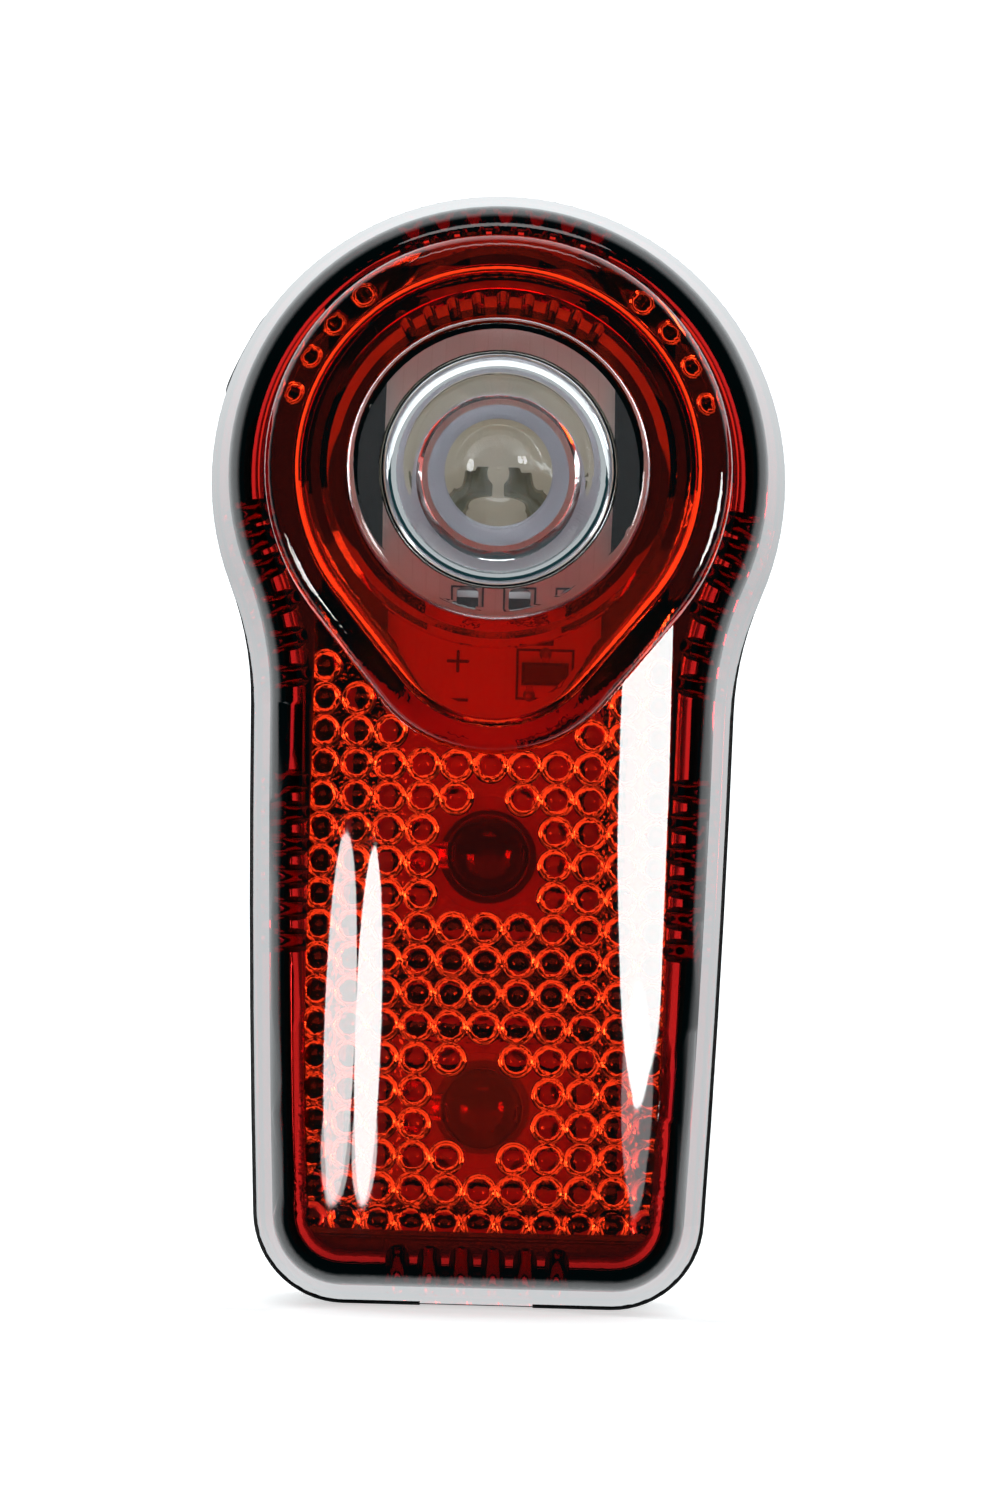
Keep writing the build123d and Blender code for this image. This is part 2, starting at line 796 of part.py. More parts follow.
# Two cells, one each way up
for name, x, upright in (("left_cell", -cell_spacing / 2, True), ("right_cell", cell_spacing / 2, False)):
    nub_end = cell_top if upright else cell_foot
    way = -1 if upright else 1
    with BuildPart() as cell:
        with BuildSketch(Plane.XY.offset(nub_end + way * cell_nub_height)):
            with Locations((x, depth(cell_axis))):
                Circle(cell_radius)
        extrude(amount=way * (cell_length - cell_nub_height))
        fillet(cell.edges().filter_by(GeomType.CIRCLE), cell_rounding)
        with BuildSketch(Plane.XY.offset(nub_end)):
            with Locations((x, depth(cell_axis))):
                Circle(cell_nub_radius)
        extrude(amount=way * cell_nub_height * 2)
    cell.part.label = name
    export_step(cell.part, "parts/" + name + ".step")


def contact_plate(height, places, width):
    """A thin plate on a contact wall, under the cells named."""
    with BuildPart() as plate:
        with BuildSketch(Plane.XY.offset(height)):
            with Locations(*places):
                RectangleRounded(width, contact_size, contact_rounding)
        extrude(amount=contact_thickness)
    return plate


positive_contact = contact_plate(cell_top, cell_places[0:1], contact_size)
positive_contact.part.label = "positive_contact"
export_step(positive_contact.part, "parts/positive_contact.step")
negative_contact = contact_plate(cell_top, cell_places[1:2], contact_size)
negative_contact.part.label = "negative_contact"
export_step(negative_contact.part, "parts/negative_contact.step")
bridge_contact = contact_plate(bay_foot, [(0, depth(cell_axis))], cell_spacing + contact_size)
bridge_contact.part.label = "bridge_contact"
export_step(bridge_contact.part, "parts/bridge_contact.step")


def unit(vector):
    """A vector of length one along the given one."""
    return vector / vector.length


def spring_place(turn, x, start, way):
    """Where the middle of a conical spring's wire is after so many turns, and its heading."""
    share = turn / spring_turns
    radius = spring_foot_radius + (spring_tip_radius - spring_foot_radius) * share
    shrink = (spring_tip_radius - spring_foot_radius) / (2 * pi * spring_turns)
    climb = (spring_length - spring_wire) * way
    angle = 2 * pi * turn
    place = Vector(
        x + radius * cos(angle),
        depth(cell_axis) + radius * sin(angle),
        start + way * spring_wire / 2 + climb * share,
    )
    heading = Vector(
        shrink * cos(angle) - radius * sin(angle),
        shrink * sin(angle) + radius * cos(angle),
        climb / (2 * pi * spring_turns),
    )
    return place, unit(heading)


def biarc_joint(first, first_way, last, last_way):
    """Where the two arcs of equal reach meet that join two places with their headings."""
    chord = last - first
    ways = first_way + last_way
    bend = 2 * (1 - first_way.dot(last_way))
    along = 2 * chord.dot(ways)
    reach = (sqrt(along**2 + 4 * bend * chord.dot(chord)) - along) / (2 * bend)
    return (first + last + (first_way - last_way) * reach) / 2


def conical_spring(x, start, way):
    """A wire wound in a cone, swept along arcs of a quarter turn."""
    quarters = 4 * spring_turns
    with BuildPart() as spring:
        with BuildLine() as wound:
            for quarter in range(quarters):
                first, first_way = spring_place(quarter / 4, x, start, way)
                last, last_way = spring_place((quarter + 1) / 4, x, start, way)
                joint = biarc_joint(first, first_way, last, last_way)
                arc = TangentArc(first, joint, tangent=first_way)
                TangentArc(joint, last, tangent=arc % 1)
        origin, heading = spring_place(0, x, start, way)
        with BuildSketch(Plane(origin=origin, z_dir=heading)):
            Circle(spring_wire / 2)
        sweep(path=wound.line)
    return spring


def least_gap_to_itself(x, start, way):
    """The least gap between the turns of a spring's wire, measured on points."""
    steps = 60
    places = [spring_place(number / steps, x, start, way)[0] for number in range(spring_turns * steps + 1)]
    gaps = []
    for number, place in enumerate(places):
        for other in places[number + steps // 2 :]:
            gaps.append((other - place).length - spring_wire)
    return min(gaps)


bridge_spring = conical_spring(-cell_spacing / 2, cell_foot, 1)
bridge_spring.part.label = "bridge_spring"
export_step(bridge_spring.part, "parts/bridge_spring.step")
negative_spring = conical_spring(cell_spacing / 2, cell_top, -1)
negative_spring.part.label = "negative_spring"
export_step(negative_spring.part, "parts/negative_spring.step")
print("spring gap to itself", round(least_gap_to_itself(0, 0, 1), 3))
print("spring volume", round(bridge_spring.part.volume, 3))

# Three screws that hold tray, board and mask together
screw_seat = board_back - tray_seat
with BuildPart() as board_screws:
    with BuildSketch(facing(screw_seat)):
        with Locations(*screw_places):
            Circle(screw_radius)
    extrude(amount=screw_length)
    with BuildSketch(facing(screw_seat)):
        with Locations(*screw_places):
            Circle(screw_head_radius)
    extrude(amount=-screw_head_height)
    with BuildSketch(facing(screw_seat - screw_head_height)):
        with Locations(*screw_places):
            Rectangle(screw_head_radius * 4 / 3, cross_width)
            Rectangle(cross_width, screw_head_radius * 4 / 3)
    extrude(amount=cross_depth, mode=Mode.SUBTRACT)
board_screws.part.label = "board_screws"
export_step(board_screws.part, "parts/board_screws.step")

# Back housing, and the hollow in it
clip_screw_height = (clip_foot_low + clip_foot_high) / 2
clip_screw_places = [(-clip_screw_x, clip_screw_height), (clip_screw_x, clip_screw_height)]
with BuildPart() as housing_hollow:
    extrude(housing_outline(0, housing_wall), amount=housing_floor)
    fillet(housing_hollow.faces().sort_by(Axis.Y)[-1].edges(), housing_inner_rounding)
with BuildPart() as back_housing:
    extrude(housing_outline(0, 0), amount=housing_back)
    fillet(back_housing.faces().sort_by(Axis.Y)[-1].edges(), housing_back_rounding)
    add(housing_hollow.part, mode=Mode.SUBTRACT)
    # Step in the rim that the seal lies on
    extrude(housing_outline(0, rim_lip), amount=-seal_seat, mode=Mode.SUBTRACT)
    # Hole for the button, seen from outside
    with BuildSketch(across_button(tray_head_radius)):
        Circle(button_radius + button_clearance)
    extrude(amount=head_radius, mode=Mode.SUBTRACT)
    # Slot for a coin, to part lens and housing
    with BuildSketch(facing(0)):
        with Locations((0, coin_slot_height / 2)):
            Rectangle(coin_slot_width, coin_slot_height)
    extrude(amount=-coin_slot_depth, mode=Mode.SUBTRACT)
    # Holes for the screws of the clip
    with BuildSketch(facing(housing_back - overrun)):
        with Locations(*clip_screw_places):
            Circle(clip_screw_radius + lead_clearance)
    extrude(amount=housing_wall + 2 * overrun, mode=Mode.SUBTRACT)
back_housing.part.label = "back_housing"
export_step(back_housing.part, "parts/back_housing.step")

# Seal in the step of the rim
with BuildPart() as seal_ring:
    with BuildSketch(facing(-spigot_length)):
        add(housing_outline(-spigot_length, rim_lip + seal_gap))
        add(housing_outline(-spigot_length, housing_wall), mode=Mode.SUBTRACT)
    extrude(amount=spigot_length - seal_seat)
seal_ring.part.label = "seal_ring"
export_step(seal_ring.part, "parts/seal_ring.step")

# Rubber button with a flange inside the wall and a stem that reaches for the switch
flange_bow = sqrt((head_radius - housing_wall) ** 2 - flange_radius**2)
flange_top = flange_bow - flange_gap
stem_tip = plunger_tip + stem_to_plunger
button_top = head_radius + button_proud
with BuildPart() as button_cap:
    with BuildSketch(across_button(flange_top - flange_height)):
        Circle(button_radius)
    extrude(amount=button_top - flange_top + flange_height)
    rims = button_cap.edges().filter_by(GeomType.CIRCLE)
    fillet(rims.sort_by_distance(across_button(button_top).origin)[0], button_rounding)
    with BuildSketch(across_button(flange_top - flange_height)):
        Circle(flange_radius)
    extrude(amount=flange_height)
    with BuildSketch(across_button(stem_tip)):
        Circle(stem_radius)
    extrude(amount=flange_top - stem_tip)
button_cap.part.label = "button_cap"
export_step(button_cap.part, "parts/button_cap.step")

# Foot of the clip, screwed to the housing from inside
with BuildPart() as clip_foot:
    with BuildSketch(facing(housing_back)):
        with Locations((0, clip_screw_height)):
            Rectangle(2 * clip_half_width, clip_foot_high - clip_foot_low)
    extrude(amount=clip_back - housing_back)
    outer = clip_foot.faces().sort_by(Axis.Y)[-1].edges().sort_by(Axis.Z)[1:4]
    fillet(outer, clip_rounding)
    with BuildSketch(facing(housing_back)):
        with Locations(*clip_screw_places):
            Circle(clip_screw_radius + screw_fit)
    extrude(amount=housing_floor - clip_screw_length - housing_back - hole_end_gap, mode=Mode.SUBTRACT)
clip_foot.part.label = "clip_foot"
export_step(clip_foot.part, "parts/clip_foot.step")

# Tongue of the clip, with a ridge that keeps a strap in
tongue_top = clip_foot_low - clip_seam
tongue_low = tongue_top - tongue_length
ridge_height = tongue_low + ridge_from_tip
with BuildPart() as clip_tongue:
    with BuildSketch(Plane.YZ):
        with BuildLine():
            Polyline(
                (depth(clip_face), tongue_top),
                (depth(clip_back), tongue_top),
                (depth(clip_back), tongue_low),
                (depth(clip_back + tongue_tip_thickness), tongue_low),
                (depth(clip_face), ridge_height - ridge_radius),
                close=True,
            )
        make_face()
        with Locations((depth(clip_face + ridge_reach - ridge_radius), ridge_height)):
            Circle(ridge_radius)
        with Locations((depth(clip_back), ridge_height)):
            cut_align = (Align.MIN, Align.CENTER)
            Rectangle(2 * ridge_radius, 4 * ridge_radius, align=cut_align, mode=Mode.SUBTRACT)
    extrude(amount=tongue_half_width, both=True)
    with BuildSketch(facing(clip_back)):
        with BuildLine():
            Polyline(
                (-tongue_half_width, tongue_top),
                (tongue_half_width, tongue_top),
                (tongue_tip_half_width, tongue_low),
                (-tongue_tip_half_width, tongue_low),
                close=True,
            )
        face = make_face()
        fillet(face.vertices().sort_by(Axis.Y)[0:2], tongue_tip_radius)
    extrude(amount=clip_thickness + ridge_reach, mode=Mode.INTERSECT)
clip_tongue.part.label = "clip_tongue"
export_step(clip_tongue.part, "parts/clip_tongue.step")

# Two screws that hold the clip, their heads inside the housing
with BuildPart() as clip_screws:
    with BuildSketch(facing(housing_floor)):
        with Locations(*clip_screw_places):
            Circle(clip_screw_radius)
    extrude(amount=-clip_screw_length)
    with BuildSketch(facing(housing_floor)):
        with Locations(*clip_screw_places):
            Circle(clip_screw_head_radius)
    extrude(amount=clip_screw_head_height)
    with BuildSketch(facing(housing_floor + clip_screw_head_height)):
        with Locations(*clip_screw_places):
            Rectangle(clip_screw_head_radius * 4 / 3, cross_width)
            Rectangle(cross_width, clip_screw_head_radius * 4 / 3)
    extrude(amount=-cross_depth, mode=Mode.SUBTRACT)
clip_screws.part.label = "clip_screws"
export_step(clip_screws.part, "parts/clip_screws.step")
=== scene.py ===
# %% [markdown]
# # A rear light for a bicycle
# The real light is a black housing with a red lens snapped on its front. Behind the lens sit a circuit
# board with three light sources, a black mask, and a tray with two cells. The frame that is loaded here
# holds all these pieces as solids in their real sizes, in metres. This lesson gives them finishes, adds
# what is too fine for the solids, and lights the whole as a product photographer does.

from math import cos, pi, radians, sin

import bpy
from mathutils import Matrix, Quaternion, Vector


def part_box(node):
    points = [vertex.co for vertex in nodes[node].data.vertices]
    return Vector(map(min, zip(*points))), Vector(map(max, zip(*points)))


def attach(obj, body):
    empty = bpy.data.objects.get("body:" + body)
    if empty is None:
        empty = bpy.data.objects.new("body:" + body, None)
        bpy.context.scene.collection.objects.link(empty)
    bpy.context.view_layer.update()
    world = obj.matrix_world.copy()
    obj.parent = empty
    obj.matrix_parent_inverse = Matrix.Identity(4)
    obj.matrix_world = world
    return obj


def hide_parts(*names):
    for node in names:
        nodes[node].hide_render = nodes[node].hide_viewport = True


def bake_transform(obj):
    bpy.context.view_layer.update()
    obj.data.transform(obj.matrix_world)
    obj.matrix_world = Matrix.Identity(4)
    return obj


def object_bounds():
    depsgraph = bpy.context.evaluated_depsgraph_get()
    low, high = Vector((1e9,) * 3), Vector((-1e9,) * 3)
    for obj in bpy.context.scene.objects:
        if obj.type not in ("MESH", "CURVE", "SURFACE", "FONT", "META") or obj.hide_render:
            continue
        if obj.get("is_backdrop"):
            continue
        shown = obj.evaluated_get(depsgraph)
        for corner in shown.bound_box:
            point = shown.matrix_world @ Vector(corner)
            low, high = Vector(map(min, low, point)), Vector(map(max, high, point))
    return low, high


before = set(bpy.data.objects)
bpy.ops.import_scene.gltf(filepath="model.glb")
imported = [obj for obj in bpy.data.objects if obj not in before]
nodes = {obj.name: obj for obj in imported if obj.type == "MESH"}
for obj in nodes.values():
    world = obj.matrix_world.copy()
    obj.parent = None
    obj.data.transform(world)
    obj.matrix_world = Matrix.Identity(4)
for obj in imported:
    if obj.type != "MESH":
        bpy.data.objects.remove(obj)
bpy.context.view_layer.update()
mm = 0.001

# %% [markdown]
# ## Colours and finishes
# A finish starts from what the real thing is: the plastic, how its mould was made, what was plated or
# printed on it. Colours are written as the hex values that a picture shows, which are not linear, so one
# function turns them into the linear values that a shader works with. One more function adds a node to a
# material with its settings and links, and every finish below is put together with it. Two recipes come
# back in most finishes: a fine grain on the surface, and a gloss that differs a little from spot to spot.

# %% Helpers for finishes
def linear(hex_colour):
    """Linear red, green, blue and a full alpha from a hex colour."""
    parts = [int(hex_colour[at : at + 2], 16) / 255 for at in (1, 3, 5)]
    return [part / 12.92 if part <= 0.04045 else ((part + 0.055) / 1.055) ** 2.4 for part in parts] + [1]


def add_node(tree, kind, inputs=None, **settings):
    """A node with its own settings. Each of its inputs gets a value, or the output that feeds it."""
    node = tree.nodes.new("ShaderNode" + kind)
    for name, value in settings.items():
        setattr(node, name, value)
    for name, source in (inputs or {}).items():
        if isinstance(source, bpy.types.NodeSocket):
            tree.links.new(source, node.inputs[name])
        else:
            node.inputs[name].default_value = source
    return node


def new_finish(name, **values):
    """A material with one main shader, whose inputs are set by name."""
    made = bpy.data.materials.new(name)
    made.use_nodes = True
    tree = made.node_tree
    shader = tree.nodes["Principled BSDF"]
    for key, value in values.items():
        shader.inputs[key.replace("_", " ")].default_value = value
    place = add_node(tree, "TexCoord").outputs["Object"]
    return made, tree, shader, place


def grain(tree, shader, place, size, depth, detail=2.0):
    """Fine unevenness: spots of this size that stand out by this depth, both in millimetres."""
    spots = add_node(tree, "TexNoise", {"Vector": place, "Scale": 1 / (size * mm), "Detail": detail})
    bump = add_node(tree, "Bump", {"Height": spots.outputs["Fac"], "Distance": depth * mm, "Strength": 1.0})
    tree.links.new(bump.outputs["Normal"], shader.inputs["Normal"])


def uneven_gloss(tree, shader, place, size, low, high):
    """Lets the roughness go between low and high in spots of this size in millimetres."""
    spots = add_node(tree, "TexNoise", {"Vector": place, "Scale": 1 / (size * mm), "Detail": 2.0})
    share = {"Value": spots.outputs["Fac"], "From Min": 0.3, "From Max": 0.7, "To Min": low, "To Max": high}
    tree.links.new(add_node(tree, "MapRange", share).outputs["Result"], shader.inputs["Roughness"])


def dress(material, *names):
    """Gives a finish to CAD nodes or pieces."""
    for name in names:
        owner = nodes[name] if name in nodes else bpy.data.objects[name]
        owner.data.materials.clear()
        owner.data.materials.append(material)


print("helpers ready")

# %% [markdown]
# ### Red polycarbonate
# The lens is injection-moulded polycarbonate in a polished mould: no grain, a high gloss, and an IOR of
# 1.585 that makes the edges shine like a mirror. The colour lies in the plastic itself, so light that
# goes in and out again through the wall is coloured twice, and the base colour is lighter than the lens
# looks. The polish isn't perfect: a faint waviness a few millimetres wide keeps highlights alive.

# %% Red lens
# The second red is painted shade for the flanks, and it is mixed in below.
lens_red, flank_shade_red = linear("#F23510"), linear("#960E18")
red_plastic, tree, shader, place = new_finish(
    "moulded red polycarbonate", Base_Color=lens_red, Roughness=0.03, IOR=1.585, Transmission_Weight=1.0
)
dress(red_plastic, "red_lens")
print("red lens has its plastic")

# %% [markdown]
# Inside the barrel-shaped panel the mould was left coarser than elsewhere, which softens what lies behind
# the beads, and two round windows in it are polished for the signal lights. One pattern does it: a product
# of tests that is one on the panel and nought elsewhere lets fine spots through, and the waviness of the
# polish is added everywhere.

# %% Coarse panel with two windows
def distance(tree, place, about, ways):
    """How far a place is from a point, measured only along the ways whose factor is one."""
    shift = [-centre * way for centre, way in zip(about, ways)]
    moved = add_node(tree, "VectorMath", {0: place, 1: ways, 2: shift}, operation="MULTIPLY_ADD").outputs[0]
    return add_node(tree, "VectorMath", {0: moved}, operation="LENGTH").outputs["Value"]


barrel_axis_y, barrel_inside, window_radius = 6.78 * mm, 20.8 * mm, 3.5 * mm
panel_half_width, panel_low, panel_high = 11.0 * mm, 5.5 * mm, 44.0 * mm
x, y, z = add_node(tree, "SeparateXYZ", {"Vector": place}).outputs
aside = add_node(tree, "Math", {0: x}, operation="ABSOLUTE").outputs[0]
panel_tests = [
    (distance(tree, place, (0, barrel_axis_y, 0), (1, 1, 0)), "LESS_THAN", barrel_inside),
    (aside, "LESS_THAN", panel_half_width),
    (z, "LESS_THAN", panel_high),
    (z, "GREATER_THAN", panel_low),
]
for led in ("lower_led", "upper_led"):
    low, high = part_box(led)
    away = distance(tree, place, (0, 0, (low.z + high.z) / 2), (1, 0, 1))
    panel_tests.append((away, "GREATER_THAN", window_radius))
coarse_size, coarse_share, wave_size, wave_depth = 0.4 * mm, 6.5, 5.0 * mm, 0.006 * mm
coarse = add_node(tree, "TexNoise", {"Vector": place, "Scale": 1 / coarse_size, "Detail": 1.0}).outputs["Fac"]
for value, operation, limit in panel_tests:
    passed = add_node(tree, "Math", {0: value, 1: limit}, operation=operation).outputs[0]
    coarse = add_node(tree, "Math", {0: coarse, 1: passed}, operation="MULTIPLY").outputs[0]
waves = add_node(tree, "TexNoise", {"Vector": place, "Scale": 1 / wave_size, "Detail": 0.0}).outputs["Fac"]
both = add_node(tree, "Math", {0: coarse, 1: coarse_share, 2: waves}, operation="MULTIPLY_ADD").outputs[0]
bump = add_node(tree, "Bump", {"Height": both, "Distance": wave_depth, "Strength": 1.0})
tree.links.new(bump.outputs["Normal"], shader.inputs["Normal"])
print("coarse panel passes", len(panel_tests), "tests")

# %% [markdown]
# The flanks are seen along their wall, so light goes a longer way through the plastic there and comes out
# darker. That is painted shade: the base colour darkens with the depth behind the front. A Mix node for
# colours has them in its inputs 6 and 7, and what it makes of them in its output 2.

# %% Darker flanks
front_y, flank_y = -12.1 * mm, -11.3 * mm
depth = add_node(tree, "MapRange", {"Value": y, "From Min": front_y, "From Max": flank_y}).outputs["Result"]
# Painted shade: the base colour turns darker towards the flanks.
flank_shade_tint = add_node(tree, "Mix", {"Factor": depth, 6: lens_red, 7: flank_shade_red}, data_type="RGBA")
tree.links.new(flank_shade_tint.outputs[2], shader.inputs["Base Color"])
print("red plastic has", len(tree.nodes), "nodes")

# %% [markdown]
# ### Clear polycarbonate
# The optic in the boss is the same plastic without a dye, moulded still smoother, because each ripple
# would show in the beam. Its base colour is a little under white, with a touch of blue.

# %% Clear optic
clear_plastic, tree, shader, place = new_finish(
    "moulded clear polycarbonate",
    Base_Color=linear("#F4F8FA"),
    Roughness=0.02,
    IOR=1.585,
    Transmission_Weight=1.0,
)
grain(tree, shader, place, 5.0, 0.002, 0.0)
dress(clear_plastic, "clear_lens")
print("clear optic done")

# %% [markdown]
# ### Black ABS
# The housing and the clip are ABS from a mould whose steel was spark-eroded, which leaves a fine grain
# about a quarter of a millimetre wide that scatters highlights. The mask and the tray come from a plain
# milled mould and stay dull, so that they look like a dark gap behind the lens.

# %% Black plastics
black_plastic, tree, shader, place = new_finish(
    "grained black ABS", Base_Color=linear("#141416"), Roughness=0.42, IOR=1.54
)
grain(tree, shader, place, 0.28, 0.03, 3.0)
uneven_gloss(tree, shader, place, 5.0, 0.36, 0.5)

inner_black, tree, shader, place = new_finish(
    "smooth black ABS", Base_Color=linear("#040405"), Roughness=0.6, IOR=1.25
)
grain(tree, shader, place, 2.0, 0.01)
dress(black_plastic, "back_housing", "clip_foot", "clip_tongue")
dress(inner_black, "board_mask", "battery_tray")
print("black plastics done")

# %% [markdown]
# ### Board
# The board is pale glass-fibre laminate under a white solder mask, and the weave of the glass just shows.
# A brick pattern with hardly any difference between its colours gives the threads.

# %% Board
board_white, tree, shader, place = new_finish(
    "pale laminate", Base_Color=linear("#E2D2CA"), Roughness=0.45, IOR=1.5
)
weave_inputs = {
    "Vector": place,
    "Color1": linear("#DCC8BC"),
    "Color2": linear("#D8C3B7"),
    "Mortar": linear("#D3BDB0"),
    "Scale": 1 / (1.6 * mm),
    "Mortar Size": 0.02,
}
tree.links.new(add_node(tree, "TexBrick", weave_inputs).outputs["Color"], shader.inputs["Base Color"])
grain(tree, shader, place, 0.6, 0.02)
dress(board_white, "circuit_board")
print("board done")

# %% [markdown]
# ### Parts with tinned legs
# Package and chip bodies are moulded epoxy, dull and near black, with tinned legs. A leg and its body are
# one solid here, so the finish tells them apart by height: what stands beyond the body is tin.

# %% Parts with legs
def part_with_legs(name, body_hex, low, high):
    """A dull moulded body whose ends below low and above high, in millimetres of height, are tinned."""
    made, tree, shader, place = new_finish(name, Base_Color=linear(body_hex), Roughness=0.55)
    height = add_node(tree, "SeparateXYZ", {"Vector": place}).outputs["Z"]
    away = add_node(tree, "Math", {0: height, 1: (low + high) / 2 * mm}, operation="SUBTRACT").outputs[0]
    far = add_node(tree, "Math", {0: away}, operation="ABSOLUTE").outputs[0]
    is_leg = add_node(tree, "Math", {0: far, 1: (high - low) / 2 * mm}, operation="GREATER_THAN").outputs[0]
    colours = {"Factor": is_leg, 6: linear(body_hex), 7: linear("#A6A8A9")}
    gloss = {"Value": is_leg, "To Min": 0.55, "To Max": 0.4}
    tree.links.new(add_node(tree, "Mix", colours, data_type="RGBA").outputs[2], shader.inputs["Base Color"])
    tree.links.new(add_node(tree, "MapRange", gloss).outputs["Result"], shader.inputs["Roughness"])
    tree.links.new(is_leg, shader.inputs["Metallic"])
    return made


for node, name, body_hex, body_low, body_high in (
    ("transistor", "epoxy transistor", "#17181A", 38.7, 40.1),
    ("controller_chip", "epoxy chip", "#141517", 55.05, 58.95),
    ("chip_resistors", "chip resistor", "#1A1C20", 43.4, 44.6),
):
    dress(part_with_legs(name, body_hex, body_low, body_high), node)
    print(node, "has a body", round(body_high - body_low, 2), "mm high")

# %% [markdown]
# ### Signal light sources
# The two round signal lights are cast in clear red epoxy, and behind the board their steel leads come out.
# Epoxy and leads are one solid too, told apart by their depth.

# %% Signal light sources
signal_red, lead_grey = linear("#FF5A40"), linear("#C9CBCC")
signal_epoxy, tree, shader, place = new_finish(
    "red cast epoxy", Base_Color=signal_red, Roughness=0.04, IOR=1.53, Transmission_Weight=1.0
)
grain(tree, shader, place, 3.0, 0.003, 0.0)
leads_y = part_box("circuit_board")[0].y + 0.1 * mm
depth = add_node(tree, "SeparateXYZ", {"Vector": place}).outputs["Y"]
is_lead = add_node(tree, "Math", {0: depth, 1: leads_y}, operation="GREATER_THAN").outputs[0]
is_epoxy = add_node(tree, "Math", {0: 1.0, 1: is_lead}, operation="SUBTRACT").outputs[0]
tint = add_node(tree, "Mix", {"Factor": is_lead, 6: signal_red, 7: lead_grey}, data_type="RGBA")
tree.links.new(tint.outputs[2], shader.inputs["Base Color"])
tree.links.new(is_lead, shader.inputs["Metallic"])
tree.links.new(is_epoxy, shader.inputs["Transmission Weight"])
dress(signal_epoxy, "lower_led", "upper_led")
print("signal light sources done")

# %% [markdown]
# ### Package of the main light source
# The package is moulded from a pale beige plastic that throws light forward. It glows a little here. That
# stands for the light that the real optic gathers onto it, which the renderer hardly finds through so
# small a lens.

# %% Package plastic
led_beige, tree, shader, place = new_finish(
    "moulded beige package", Base_Color=linear("#E4DCCB"), Roughness=0.45, IOR=1.5, Emission_Strength=0.2
)
shader.inputs["Emission Color"].default_value = linear("#E2D8CC")
grain(tree, shader, place, 0.3, 0.01)
dress(led_beige, "main_led")
print("package plastic done")

# %% [markdown]
# ### Metal and rubber
# Contacts and springs are nickel-plated steel, bright and slightly warm, and the screws are zinc-plated and
# duller. Plating is never even, so the gloss differs from spot to spot. The seal, the button and the switch
# have the fine dull skin of rubber from an etched mould.

# %% Metals and rubber
nickel, tree, shader, place = new_finish(
    "nickel-plated steel", Base_Color=linear("#C8C4BA"), Metallic=1.0, Roughness=0.22
)
uneven_gloss(tree, shader, place, 0.8, 0.16, 0.32)
zinc, tree, shader, place = new_finish(
    "zinc-plated steel", Base_Color=linear("#B9BCC0"), Metallic=1.0, Roughness=0.35
)
uneven_gloss(tree, shader, place, 0.4, 0.28, 0.45)
rubber, tree, shader, place = new_finish("moulded rubber", Base_Color=linear("#1A1A1B"), Roughness=0.7)
grain(tree, shader, place, 0.2, 0.02)
dress(nickel, "bridge_contact", "positive_contact", "negative_contact", "bridge_spring", "negative_spring")
dress(zinc, "board_screws", "clip_screws")
dress(rubber, "seal_ring", "button_cap", "switch_body", "switch_plunger")
print("metals and rubber done")

# %% [markdown]
# ### Cells
# The cells wear a plain printed sleeve: a dark body, a pale line and a red band at the positive end, with
# bare steel at both ends. A ramp over the height of the cell prints it, and one cell stands on its head.

# %% Cells
def cell_sleeve(name, positive_up):
    """A dark sleeve with a light band at the positive end and bare steel at both ends."""
    made, tree, shader, place = new_finish(name, Roughness=0.3)
    low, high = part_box("left_cell" if positive_up else "right_cell")
    ends = (low.z, high.z) if positive_up else (high.z, low.z)
    height = add_node(tree, "SeparateXYZ", {"Vector": place}).outputs["Z"]
    share = add_node(tree, "MapRange", {"Value": height, "From Min": ends[0], "From Max": ends[1]})
    ramp = add_node(tree, "ValToRGB", {"Fac": share.outputs["Result"]})
    ramp.color_ramp.interpolation = "CONSTANT"
    stops = ((0.0, "#B8B8B8"), (0.02, "#1B2024"), (0.72, "#C7C9CB"), (0.74, "#A8302A"), (0.96, "#B8B8B8"))
    for number, (at, colour) in enumerate(stops):
        stop = ramp.color_ramp.elements[number] if number < 2 else ramp.color_ramp.elements.new(at)
        stop.position, stop.color = at, linear(colour)
    tree.links.new(ramp.outputs["Color"], shader.inputs["Base Color"])
    print(name, "length", round((high.z - low.z) / mm, 1), "mm")
    return made


dress(cell_sleeve("left cell sleeve", True), "left_cell")
dress(cell_sleeve("right cell sleeve", False), "right_cell")

# %% [markdown]
# ## Pieces that the solids leave out
# The solids carry the main shapes. What follows is modelled as by hand: a simple block or ball is put in
# place, its faces are pushed, pulled and cut, and its edges are rounded last. An operator acts on all that
# is selected, so each new piece starts with nothing selected.

# %% Start a piece
def start(kind, name, **options):
    """A new primitive, with everything else deselected first."""
    bpy.ops.object.select_all(action="DESELECT")
    getattr(bpy.ops.mesh, f"primitive_{kind}_add")(**options)
    bpy.ops.object.transform_apply(location=True, rotation=True, scale=True)
    made = bpy.context.object
    made.name = name
    return made


def block(name, low, high):
    """A box between two corners in millimetres."""
    middle = [(a + b) / 2 * mm for a, b in zip(low, high)]
    return start("cube", name, size=1.0, location=middle, scale=[(b - a) * mm for a, b in zip(low, high)])


print("pieces can be started")

# %% [markdown]
# With no window there is no mouse to select with, so a test on the middle of a face and on the way that it
# looks picks it, and for an edge the way that it runs. What is picked is then pulled out and made narrower
# or wider in one go.

